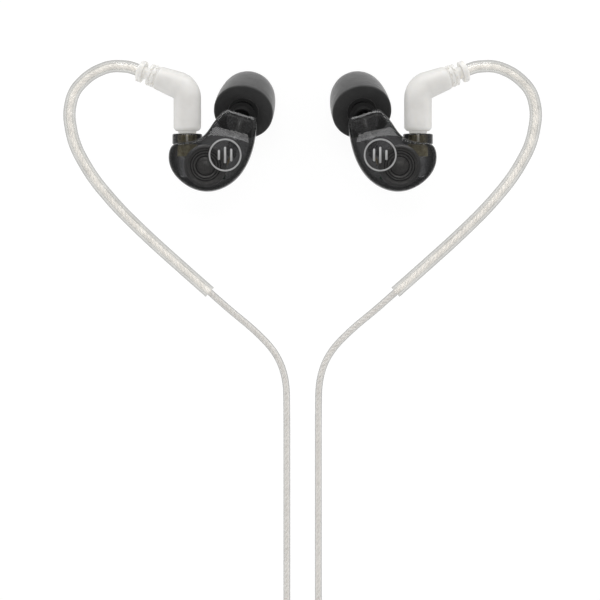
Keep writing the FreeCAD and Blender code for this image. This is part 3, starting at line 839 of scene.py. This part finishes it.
def shell():
    outline = closed_spline(SHELL_OUTLINE, 200)
    nozzle_seat = lathe(disc_profile(NOZZLE_RADIUS, NOZZLE_START, 5), TIP_BACK, TIP_WAY, 64)
    hose_seat = lathe(disc_profile(HOSE_RADIUS, 0, HOSE_RUN.length), HOSE_START, HOSE_RUN, 40)

    face = Shape()
    outer = face_skin(face, outline, 1.0, 0.0)
    inner = face_skin(face, outline, WALL_SHARE, WALL)
    face.bridge(outer, inner)
    face = combined(face, ("DIFFERENCE", nozzle_seat), ("DIFFERENCE", hose_seat))

    solid_back = Shape()
    solid_back.fan(back_skin(solid_back, outline, 1.0, 0.0), SHELL_CENTRE + UP * PARTING_Z)
    cavity = Shape()
    lid = back_skin(cavity, outline, WALL_SHARE, WALL)
    above = cavity.ring([Vector(cavity.points[i]) + UP * 1.0 for i in lid])
    cavity.bridge(lid, above)
    cavity.fan(above, SHELL_CENTRE + UP * (PARTING_Z + 1.0))
    boss = lathe(eased(disc_profile(BOSS_RADIUS, 7.2, 9.54), 0.35), CONNECTOR, FORWARD, 80)
    collar = lathe(eased([(0, -4.2), (3.3, -4.2), (2.8, -0.4), (0, -0.4)], 0.25), TIP_BACK, TIP_WAY, 80)
    lid_block = moved(bevelled_box(Vector((60, 60, 10)), 0.01, 1), Vector((-20, 5, PARTING_Z + 5)))
    collar = combined(collar, ("DIFFERENCE", lid_block))
    cavity = combined(cavity, ("DIFFERENCE", boss), ("DIFFERENCE", collar))
    socket_seat = lathe(disc_profile(SOCKET_RADIUS, 0, 10.54), CONNECTOR, FORWARD, 72)
    back = combined(solid_back, ("UNION", boss), ("UNION", collar), ("DIFFERENCE", cavity),
                    ("DIFFERENCE", socket_seat), ("DIFFERENCE", nozzle_seat), ("DIFFERENCE", hose_seat))

    for name, shape, node in (("face_half", face, "outer_shell"), ("rear_half", back, "inner_shell")):
        for sign, obj in zip((1, -1), place(name, shape, "earpiece", "smoke_shell", [node], angle=32)):
            even = obj.modifiers.new("even shading", "WEIGHTED_NORMAL")
            even.keep_sharp = True
            even.weight = 80
            obj.data.materials.append(FINISH["shell_seam"])
            obj.data.materials.append(FINISH["black_nozzle"])
            for polygon in obj.data.polygons:
                if abs(polygon.normal.z) > 0.98 and abs(polygon.center.z / MM - PARTING_Z) < 0.02:
                    polygon.material_index = 1
                centre = polygon.center / MM
                from_tip = Vector((centre.x * sign, centre.y, centre.z)) - TIP_BACK
                along = from_tip.dot(TIP_WAY)
                # Painted shade: the rear half's smoke collar round the nozzle takes the black nozzle finish,
                # a dark sheet for the shadow at the neck's end.
                if name == "rear_half" and -3.0 < along < 0 and (from_tip - TIP_WAY * along).length < 3.35:
                    polygon.material_index = 2


def face_mark():
    centre = Vector((-17.0, 4.7, FACE_Z))
    shape = lathe(eased(tube_profile(3.25, 3.6, 0, 0.08), 0.03, 2), centre, UP, 128)
    for shift, height in ((-1.35, 2.2), (0.0, 3.6), (1.35, 2.8)):
        layers = []
        for z, inset in ((0.0, 0.0), (0.06, 0.0), (0.08, 0.025)):
            half_w = 0.25 - inset
            half_h = height / 2 - 0.25
            points = []
            for k in range(48):
                a = 2 * pi * k / 48
                y = half_h if sin(a) > 0 else -half_h
                points.append(centre + Vector((shift + half_w * cos(a), y + half_w * sin(a), z)))
            layers.append(points)
        bar = Shape()
        rings = bar.skin(layers)
        bar.faces.append(tuple(rings[-1]))
        bar.faces.append(tuple(reversed(rings[0])))
        shape.add(bar)
    place("mark", shape, "earpiece", "silver_print", ["face_mark"])


# ---- ear tip and nozzle

def ear_tip():
    nozzle = eased([
        (1.9, NOZZLE_START), (NOZZLE_RADIUS, NOZZLE_START), (NOZZLE_RADIUS, 5.0), (2.5, 5.4), (2.5, 6.0),
        (2.2, 6.8), (1.9, 6.8),
    ], 0.1)
    place("nozzle_stem", lathe(nozzle, TIP_BACK, TIP_WAY), "earpiece", "black_nozzle", ["nozzle"])
    first, second = across(TIP_WAY)
    guard = lathe(eased(tube_profile(1.6, 1.9, 6.2, 6.5), 0.05), TIP_BACK, TIP_WAY, 64)
    for k in range(MESH_WIRES):
        shift = (k - (MESH_WIRES - 1) / 2) * MESH_PITCH
        half = sqrt(1.75 ** 2 - shift ** 2)
        for a, b, lift in ((first, second, 0), (second, first, pi)):
            line = []
            for t in np.linspace(-half, half, 49):
                wave = 0.05 * sin(pi * t / MESH_PITCH + pi * k + lift)
                line.append(TIP_BACK + TIP_WAY * (6.35 + wave) + a * shift + b * float(t))
            guard.add(pipe([tuple(p) for p in line], 0.055, 6))
    place("wax_guard", guard, "earpiece", "steel_mesh", ["nozzle_mesh"])
    core = lathe(eased(tube_profile(2.55, 3.3, 0.3, 8.6), 0.12), TIP_BACK, TIP_WAY)
    place("core", core, "ear_tip", "black_rubber", ["tip_core"])
    foam = lathe(eased(FOAM_PROFILE, 0.2, 4), TIP_BACK, TIP_WAY, 160)
    centre = TIP_BACK + TIP_WAY * 5.5
    points = []
    for p in foam.points:
        p = Vector(p)
        along = (p - TIP_BACK).dot(TIP_WAY)
        out = p - TIP_BACK - TIP_WAY * along
        swell = noise.noise((p - centre) * 0.45) * 0.03 + noise.noise(p * 2.6) * 0.018
        if out.length > 3.5:
            p = p + out.normalized() * swell
        points.append((p.x, p.y, max(p.z, 0.01)))
    foam.points = points
    for obj in place("foam", foam, "ear_tip", "black_foam", ["tip_foam"], angle=70):
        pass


# ---- pieces inside and in the connector

def turned_pieces():
    for name, body, slot, node, profile in (
        ("socket", "earpiece", "brass", "socket_body", [
            (SOCKET_BORE, 9.3), (SOCKET_RADIUS, 9.3), (SOCKET_RADIUS, 7.8), (1.98, 7.7), (1.98, 7.3),
            (SOCKET_RADIUS, 7.2), (SOCKET_RADIUS, 4.6), (1.0, 4.6), (1.0, 5.2), (SOCKET_BORE, 5.2),
            (SOCKET_BORE, 6.2), (1.85, 6.3), (1.85, 6.75), (SOCKET_BORE, 6.85)]),
        ("socket_ring", "earpiece", "white_insulator", "socket_insulator", tube_profile(0.3, 1.0, 4.2, 5.2)),
        ("socket_pin", "earpiece", "gold_contact", "socket_contact", [
            (0, 3.3), (0.3, 3.3), (0.3, 7.6), (0.12, 8.0), (0, 8.0)]),
        ("barrel", "cable", "steel", "plug_barrel", [
            (1.35, 5.7), (1.65, 5.7), (1.65, 6.3), (1.45, 6.3), (1.45, 6.75), (1.65, 6.75),
            (1.65, BARREL_END), (1.35, BARREL_END)]),
        ("barrel_ring", "cable", "white_insulator", "plug_insulator",
         tube_profile(0.7, 1.35, 8.9, BARREL_END)),
        ("barrel_pin", "cable", "gold_contact", "plug_pin", [
            (0.36, 5.9), (0.55, 5.9), (0.7, 6.2), (0.7, BARREL_END), (0, BARREL_END), (0, 8.3), (0.36, 8.3)]),
    ):
        place(name, lathe(eased(profile, 0.06, 3), CONNECTOR, FORWARD, 72), body, slot, [node])

    snap = lathe(eased(tube_profile(1.47, 1.68, 6.35, 6.7), 0.05, 3), CONNECTOR, FORWARD)
    gap = moved(bevelled_box(Vector((1.0, 1.0, 0.5)), 0.02, 1), CONNECTOR + Vector((1.6, 6.5, 0)))
    place("snap", combined(snap, ("DIFFERENCE", gap)), "coupling", "spring_brass", ["snap_ring"])

    ring = [(3.6, 0), (4.7, 0), (4.7, 2.6), (4.2, 2.9), (3.9, 2.9), (3.9, 2.3), (4.3, 2.3), (4.3, 0.5),
            (3.6, 0.5)]
    dome = [(0, 2.75), (0.8, 2.68), (1.6, 2.45), (2.0, 2.05), (2.5, 2.24), (3.0, 2.3), (3.5, 2.25),
            (3.9, 2.3), (3.9, 2.2), (3.5, 2.15), (3.0, 2.2), (2.5, 2.14), (2.0, 1.95), (1.6, 2.35),
            (0.8, 2.58), (0, 2.65)]
    yoke = [(0.7, -0.9), (3.1, -0.9), (3.3, -0.7), (3.3, 0.4), (2.8, 1.5), (0.7, 1.5)]
    # Thin black rings on the diaphragm: partly its surround, partly painted shade for the dark arcs of its
    # folds.
    surround_and_fold_shade = [eased(tube_profile(radius - 0.11, radius + 0.11, height - 0.05, height + 0.09), 0.04, 2)
                for radius, height in ((2.1, 2.12), (2.75, 2.27), (3.3, 2.28))]
    for name, slot, nodes, profiles in (
        ("driver_ring", "nickel_magnet", ["driver_frame"], [eased(ring, 0.08, 3)]),
        ("driver_dome", "diaphragm_film", ["driver_diaphragm"], [dome]),
        ("driver_surround", "black_insulator", [], surround_and_fold_shade),
        ("driver_yoke", "nickel_magnet", ["driver_magnet"], [eased(yoke, 0.1, 3)]),
    ):
        place(name, turned(profiles, DRIVER_SEAT, UP), "earpiece", slot, nodes)

    hose = lathe(eased(tube_profile(0.6, HOSE_RADIUS, 0, HOSE_RUN.length), 0.06, 3), HOSE_START, HOSE_RUN, 48)
    end = lathe(disc_profile(NOZZLE_RADIUS, NOZZLE_START - 0.05, 0), TIP_BACK, TIP_WAY, 64)
    place("hose", combined(hose, ("DIFFERENCE", end)), "earpiece", "clear_hose", ["sound_tube"])


def armature_and_board():
    side_way = UP.cross(HEADING)
    body = bevelled_box(Vector((4.6, 2.6, 1.9)), 0.3, 4)
    seam = bevelled_box(Vector((4.64, 2.64, 0.12)), 0.05, 2)
    body.add(seam)
    turn = Matrix((HEADING, side_way, UP)).transposed()
    body.points = [tuple(ARMATURE + turn @ Vector(p)) for p in body.points]
    body.add(lathe(eased(tube_profile(0.35, 0.6, 2.25, ARMATURE_SPOUT), 0.04, 2), ARMATURE, HEADING, 40))
    place("armature", body, "earpiece", "steel", ["armature_driver"])

    board = moved(bevelled_box(Vector((6.0, 4.2, 0.6)), 0.08, 2), BOARD)
    place("board", board, "earpiece", "circuit_board", ["crossover_board"])
    chips = Shape()
    caps = Shape()
    parts = ((-1.8, 0.9, (1.6, 0.8, 0.7)), (0.6, 1.0, (1.0, 0.5, 0.4)), (0.4, -0.9, (1.6, 0.8, 0.6)))
    for x, y, size in parts:
        centre = BOARD + Vector((x, y, -(0.6 + size[2]) / 2))
        middle = Vector((size[0] * 0.62, size[1], size[2]))
        chips.add(moved(bevelled_box(middle, 0.04, 2), centre))
        for way in (-1, 1):
            end = Vector((size[0] * 0.19, size[1], size[2]))
            caps.add(moved(bevelled_box(end, 0.04, 2), centre + Vector((way * size[0] * 0.405, 0, 0))))
    solder = eased([(0, 0), (0.34, 0), (0.22, 0.2), (0, 0.26)], 0.05, 2)
    for x, y in ((-2.5, -1.5), (-2.5, 0.9), (2.4, -1.5), (2.4, 0.0), (2.4, 1.5), (-0.9, -1.6)):
        caps.add(lathe(solder, BOARD + Vector((x, y, 0.3)), UP, 24))
    place("chips", chips, "earpiece", "black_insulator")
    place("chip_ends", caps, "earpiece", "steel")

    back = CONNECTOR + FORWARD * 3.4
    leads = (
        (back, BOARD + Vector((-2.5, 0.9, 0.5)), 0.6),
        (back + Vector((0.5, 0.2, 0.3)), BOARD + Vector((-2.5, -1.5, 0.5)), 0.9),
        (BOARD + Vector((2.4, 1.5, 0.5)), ARMATURE - HEADING * 2.3 + UP * 0.3, 1.2),
        (BOARD + Vector((2.4, 0.0, 0.5)), ARMATURE - HEADING * 2.3 - UP * 0.3, 0.8),
        (BOARD + Vector((2.4, -1.5, 0.5)), DRIVER_SEAT + Vector((4.2, -1.2, 0.6)), 0.9),
    )
    wires = Shape()
    for start, end, sag in leads:
        middle = start.lerp(end, 0.5) + UP * sag + Vector((0.4, -0.5, 0))
        line = []
        for t in np.linspace(0, 1, 40):
            t = float(t)
            line.append(start * (1 - t) ** 2 + middle * (2 * t * (1 - t)) + end * t ** 2)
        wires.add(pipe([tuple(p) for p in line], 0.1, 10))
    place("leads", wires, "earpiece", "gold_contact")


# ---- plug, hook tube

def angled_plug():
    """One moulding: narrow collar, barrel, bend and tapering arm, with the ribbed relief at its end."""
    turn = FORWARD.angle(ARM_WAY)
    setback = BEND_RADIUS * tan(turn / 2)
    bend_axis = FORWARD.cross(ARM_WAY).normalized()
    bend_start = ELBOW - FORWARD * setback
    bend_centre = bend_start + bend_axis.cross(FORWARD) * BEND_RADIUS
    rows = []
    for radius, along in PLUG_FOOT:
        rows.append((CONNECTOR + FORWARD * along, FORWARD, radius))
    straight = bend_start.y - PLUG_FOOT[-1][1]
    for k in range(1, 9):
        rows.append((CONNECTOR + FORWARD * (PLUG_FOOT[-1][1] + straight * k / 9), FORWARD, PLUG_RADIUS))
    bend_steps = 20
    for k in range(bend_steps + 1):
        spin = Matrix.Rotation(turn * k / bend_steps, 3, bend_axis)
        rows.append((bend_centre + spin @ (bend_start - bend_centre), spin @ FORWARD, PLUG_RADIUS))
    arm_run = ARM_LENGTH - setback
    for along, radius in ((0.12, 0.12), (0.4, 0.4), (0.7, 0.7), (0.93, 0.93), (0.98, 1.06), (1.0, 1.35)):
        rows.append((ELBOW + ARM_WAY * (setback + arm_run * along), ARM_WAY,
                     PLUG_RADIUS + (2.6 - PLUG_RADIUS) * radius))
    shape = Shape()
    rings = shape.skin(circle(centre, bend_axis, bend_axis.cross(way), radius, 96)
                       for centre, way, radius in rows)
    shape.fan(rings[0], rows[0][0])
    shape.fan(rings[-1], rows[-1][0])
    bore = lathe(disc_profile(1.655, 5, BARREL_END), CONNECTOR, FORWARD, 72)
    place("plug", combined(shape, ("DIFFERENCE", bore)), "cable", "milky_moulding", ["plug_body"], angle=50)

    relief = lathe(eased(RELIEF_PROFILE, 0.12, 4), RELIEF_START, ARM_WAY)
    notches = Shape()
    first, second = across(ARM_WAY)
    for along, shift in ((0.5, 0.0), (1.55, 0.5)):
        for k in range(8):
            a = 2 * pi * (k + shift) / 8
            out = first * cos(a) + second * sin(a)
            block = bevelled_box(Vector((0.9, 0.75, 0.42)), 0.08, 2)
            spin = Matrix((out, ARM_WAY.cross(out), ARM_WAY)).transposed()
            centre = RELIEF_START + ARM_WAY * along + out * 2.5
            block.points = [tuple(centre + spin @ Vector(p)) for p in block.points]
            notches.add(block)
    place("relief", combined(relief, ("DIFFERENCE", notches)), "cable", "milky_moulding", ["strain_relief"])


def hook():
    path, _ = evenly(route(HOOK_ROUTE, 0.5), 0.5)
    outer = pipe(path, TUBE_RADIUS, 48, False)
    inner = pipe(path, TUBE_BORE, 48, False)
    count = len(path)
    shape = Shape()
    shape.add(outer)
    start = len(shape.points)
    shape.add(inner)
    for row in (0, (count - 1) * 48):
        shape.bridge(list(range(row, row + 48)), list(range(start + row, start + row + 48)))
    bore = range(len(outer.faces), len(outer.faces) + len(inner.faces))
    for obj in place("hook", shape, "cable", "clear_tube", ["hook_tube"]):
        obj.data.materials.append(SLEEVED)
        for k in bore:
            obj.data.polygons[k].material_index = 1
    jacket = pipe(path, BRANCH_RADIUS, 32)
    for obj in place("hook_core", jacket, "cable", "cable_jacket", ["hook_cable"]):
        obj.data.materials[0] = SLEEVED
    strands("hook_wires", path, BRANCH_STRANDS, 0.3, STRANDS_IN_TUBE, SIDES, 8)


# ---- cords

def cord_curve(name, corners, radius, body="cable"):
    """Smooth cable through a few corners, in metres."""
    curve = bpy.data.curves.new(name, "CURVE")
    curve.dimensions = "3D"
    spline = curve.splines.new("NURBS")
    spline.points.add(len(corners) - 1)
    for point, corner in zip(spline.points, corners):
        point.co = (corner[0] * MM, corner[1] * MM, corner[2] * MM, 1)
    spline.order_u = 3
    spline.use_endpoint_u = True
    spline.resolution_u = 10
    probe = linked("probe", curve)
    graph = bpy.context.evaluated_depsgraph_get()
    mesh = bpy.data.meshes.new_from_object(probe.evaluated_get(graph))
    path = [tuple(v.co / MM) for v in mesh.vertices]
    bpy.data.meshes.remove(mesh)
    bpy.data.objects.remove(probe)
    curve.bevel_depth = radius * MM
    curve.bevel_resolution = 8
    curve.use_fill_caps = True
    curve.materials.append(FINISH["cable_jacket"])
    obj = linked(name, curve)
    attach(obj, body)
    return obj, path


def on_ring(angle, radius, z, swell=1.0):
    a = radians(angle)
    return (COIL_CENTRE.x + radius * swell * cos(a), COIL_CENTRE.y + radius * swell * sin(a), z)


def length_of(path):
    return sum((Vector(b) - Vector(a)).length for a, b in zip(path, path[1:]))


def branch_corners(side):
    """From the hook's end down to the coil, two turns in its lowest layer, then up to the split."""
    right = side == "right"
    sign = 1 if right else -1
    start = [
        HOOK_ROUTE[-1], HOOK_ROUTE[-1] + HOOK_EXIT * 3.0, HOOK_ROUTE[-1] + HOOK_EXIT * 6.0,
        Vector((-10.6, -33.8, 0.76)), Vector((-5.8, -38.8, 0.75)), Vector((-3.6, -44.6, 0.75)),
        Vector((-3.5, -52.0, 0.75)), Vector((-3.5, -62.0, 0.75)), Vector((-3.5, -74.0, 0.75)),
        Vector((-3.5, -86.0, 0.75)), Vector((-3.5, -96.0, 0.75)), Vector((-3.5, -104.5, 0.75)),
    ]
    corners = [(p.x * sign, p.y, p.z) for p in start]
    if right:
        corners += [(-3.5, -112.0, 0.8), (-3.6, -119.0, 0.95)]
    else:
        corners += [(2.9, -109.5, 0.77), (0.2, -116.0, 0.85), (-1.9, -121.0, 0.98)]
    steps = int(2 * 360 / RING_STEP)
    for k in range(steps + 1):
        angle = 180 + k * RING_STEP
        radius = BRANCH_RING[side] - BRANCH_DRIFT * k / (360 / RING_STEP) + 0.05 * sin(k * 1.7)
        corners.append(on_ring(angle, radius, 1.15 + 0.05 * sin(k * 2.3), RING_SWELL))
    inner = 0 if right else 1.6
    climb = ((205, 9.8, 1.35), (222, 8.6, 2.0), (240, 8.0, 3.0), (265, 7.0, 5.0), (288, 7.2, 7.7),
             (306, 9.2, 9.6))
    for angle, radius, z in climb:
        low = 0.0 if right else 0.25 * (angle < 230)
        corners.append(on_ring(angle, radius - inner * (0.85 if angle < 230 else 1.0), z - low))
    x = SPLIT_PORTS[side]
    corners += [(x - 3.2, -137.6, 10.2), (x - 0.3, -135.0, 10.0), (x, -133.6, 9.9), (x, -132.4, 9.9)]
    return corners


def main_corners():
    """From the split into the coil's upper layers, thirteen turns, then out to the plug."""
    corners = [(SPLIT_X, -120.6, 9.9), (SPLIT_X, -119.2, 9.9), on_ring(38, 13.2, 9.7),
               on_ring(48, 11.5, 8.9), on_ring(58, 10.1, 7.4)]
    layers = (
        (6.7, (9.9, 12.1, 14.3, 16.5)),
        (4.85, (17.6, 15.4, 13.2, 11.0, 8.8)),
        (2.95, (9.9, 12.1, 14.3, 16.5)),
    )
    turns = [(radius, z) for z, radii in layers for radius in radii]
    per_turn = int(360 / RING_STEP)
    angle = MAIN_START
    for index, (radius, z) in enumerate(turns):
        later = turns[min(index + 1, len(turns) - 1)]
        for k in range(per_turn):
            if index == len(turns) - 1 and angle > MAIN_START + 360 * index + 110:
                break
            blend = max(0.0, (k - per_turn * 0.55) / (per_turn * 0.45))
            blend = blend * blend * (3 - 2 * blend)
            wobble = 0.09 * sin(index * 2.1 + k * 0.9)
            r = radius + (later[0] - radius) * blend + wobble
            height = z + (later[1] - z) * blend + 0.05 * sin(index * 1.3 + k * 1.7)
            corners.append(on_ring(angle, r, height, RING_SWELL))
            angle += RING_STEP
    corners += [(-3.7, -127.5, 3.0), (-4.4, -132.5, 3.1), (-7.2, -136.8, 3.5), (-8.6, -140.6, 3.6),
                (-8.6, -142.8, 3.6), (-8.6, -144.9, 3.6)]
    return corners


def cords():
    split = place("split", split_shape(), "cable", "milky_moulding", ["y_split"], MIDDLE, angle=50)[0]
    jack = jack_pieces()
    for side, sign in SIDES:
        corners = branch_corners(side)
        obj, path = cord_curve(f"{side}_branch", corners, BRANCH_RADIUS)
        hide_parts(f"{side}_branch_cable")
        wires = strands(f"{side}_branch_wires", path, BRANCH_STRANDS, 0.36, STRANDS)
        length = length_of(path)
        print(side, "branch", round(length, 1))
    corners = main_corners()
    obj, path = cord_curve("main", corners, MAIN_RADIUS)
    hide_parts("main_cable", "cable_coil")
    wires = strands("main_wires", path, MAIN_STRANDS, 0.55, STRANDS)
    print("main", round(length_of(path), 1))


def split_shape():
    shape = moved(bevelled_box(SPLIT_SIZE, 1.4, 8), SPLIT_CENTRE)
    ports = [(x, -1, 1.05) for x in SPLIT_PORTS.values()] + [(SPLIT_X, 1, 1.5)]
    for x, way, radius in ports:
        start = Vector((x, SPLIT_CENTRE.y + way * (SPLIT_SIZE.y / 2 - 0.3), SPLIT_CENTRE.z))
        sleeve = [(0.5, 0), (radius + 0.2, 0), (radius, 1.6), (0.5, 1.6)]
        shape.add(lathe(eased(sleeve, 0.15, 3), start, FORWARD * way, 48))
    return shape


def jack_pieces():
    """Stepped relief, housing, three gold contacts and the rings between them."""
    relief = [(0, 0), (1.6, 0)]
    for k in range(5):
        low = 0.9 + k * 1.35
        radius = 1.75 + 0.22 * k
        relief += [(radius, low), (radius, low + 0.75), (radius - 0.35, low + 0.85),
                   (radius - 0.33, low + 1.25)]
    relief += [(2.9, 7.7), (2.9, 8.0), (0, 8.0)]
    housing = [(0, 0), (3.0, 0), (3.6, 1.2), (3.6, 14.0), (3.3, 14.3), (3.3, 15.0), (3.6, 15.3), (3.6, 16.8),
               (2.9, 18.0), (0, 18.0)]
    sleeve, ring = (eased(disc_profile(1.75, *ends), 0.06, 2) for ends in ((0, 7.5), (8.1, 10.2)))
    tip = [(0, 10.8), (1.75, 10.8), (1.15, 11.9), (1.3, 12.3), (1.7, 12.7), (1.5, 13.4), (0.6, 14.0),
           (0, 14.0)]
    bands = [disc_profile(1.72, *ends) for ends in ((7.5, 8.1), (10.2, 10.8))]
    made = []
    for name, start, slot, node, profiles, sides in (
        ("jack_boot", 0.0, "black_housing", "jack_relief", [eased(relief, 0.12, 3)], 96),
        ("jack_shell", 8.0, "black_housing", "jack_housing", [eased(housing, 0.25, 4)], 120),
        ("jack_pin", 26.0, "gold_plate", "jack_contacts", [sleeve, ring, eased(tip, 0.15, 4)], 96),
        ("jack_bands", 26.0, "black_insulator", "jack_insulators", bands, 96),
    ):
        shape = turned(profiles, JACK_START - FORWARD * start, -FORWARD, sides)
        made += place(name, shape, "cable", slot, [node], MIDDLE)
    return made


def strap_ring(t, grow, flap=(0.0, 1.0, 0.0)):
    """Cross-section of the coil's bundle at share t of the strap's width, with its free end standing up."""
    turn = radians(60 + STRAP_SPAN * t)
    points = []
    for k in range(96):
        share = k / 96
        a = 2 * pi * share
        half = COIL_HALF_HEIGHT + grow + (flap[2] if flap[0] < share < flap[1] else 0.0)
        radial = COIL_RADIUS + copysign(COIL_FLAT / 2, cos(a)) + half * cos(a)
        points.append(COIL_CENTRE + Vector((radial * cos(turn), radial * sin(turn),
                                            COIL_MIDDLE_Z + half * sin(a))))
    return points


def tie():
    """Strap round the coil, with its free end laid back over itself."""
    steps = 40
    edge = 0.45
    rows = []
    for row in range(steps + 1):
        t = row / steps
        near = min(t, 1 - t) * radians(STRAP_SPAN) * COIL_RADIUS
        grow = 0.04 + 0.36 * sqrt(1 - (1 - min(1.0, near / edge)) ** 2)
        rows.append(strap_ring(t, grow, (0.15, 0.42, 0.32 if 0.08 < t < 0.92 else 0.0)))
    shape = Shape()
    rings = shape.skin(rows)
    first, last = (shape.ring(strap_ring(t, -0.02)) for t in (0, 1))
    shape.bridge(first, rings[0])
    shape.bridge(rings[-1], last)
    shape.bridge(last, first)
    place("strap", shape, "cable", "tie_strap", ["coil_tie"], MIDDLE, angle=50)


def slider():
    """Rounded block with two channels that open underneath and shallow grip grooves on top."""
    def section(inset):
        half = 5.8 - inset
        top = 3.08 - inset
        corner = 0.9
        low = 0.08
        points = []
        opening = sqrt(0.83 ** 2 - 0.67 ** 2)
        start = atan2(-0.67, -opening)
        for centre in (-3.5, 3.5):
            sweep = 2 * pi - (atan2(-0.67, opening) - start)
            for k in range(25):
                a = start - sweep * k / 24
                points.append((centre + 0.83 * cos(a), 0.75 + 0.83 * sin(a)))
        for cx, cz, first in ((half - 0.15, low + 0.15, -90), (half - corner, top - corner, 0),
                              (-half + corner, top - corner, 90), (-half + 0.15, low + 0.15, 180)):
            radius = 0.15 if cz < 1 else corner
            for k in range(9):
                a = radians(first + 90 * k / 8)
                points.append((cx + radius * cos(a), cz + radius * sin(a)))
        return points

    rows = [(0.0, 0.55), (0.08, 0.34), (0.22, 0.16), (0.45, 0.04), (0.8, 0.0)]
    for k in range(3):
        low = 2.2 + 1.35 * k
        rows += [(low, 0.0), (low + 0.12, 0.14), (low + 0.45, 0.14), (low + 0.57, 0.0)]
    rows += [(8 - y, inset) for y, inset in reversed(rows[:5])]
    shape = Shape()
    rings = shape.skin([(x, SLIDER_Y - 4 + y, z) for x, z in section(inset)] for y, inset in rows)
    shape.faces.append(tuple(reversed(rings[0])))
    shape.faces.append(tuple(rings[-1]))
    place("slider_block", shape, "slider", "milky_moulding", ["chin_slider"], MIDDLE, angle=45)


# ---- the whole

camera()
studio()
cords()
tie()
slider()
shell()
face_mark()
ear_tip()
turned_pieces()
armature_and_board()
angled_plug()
hook()
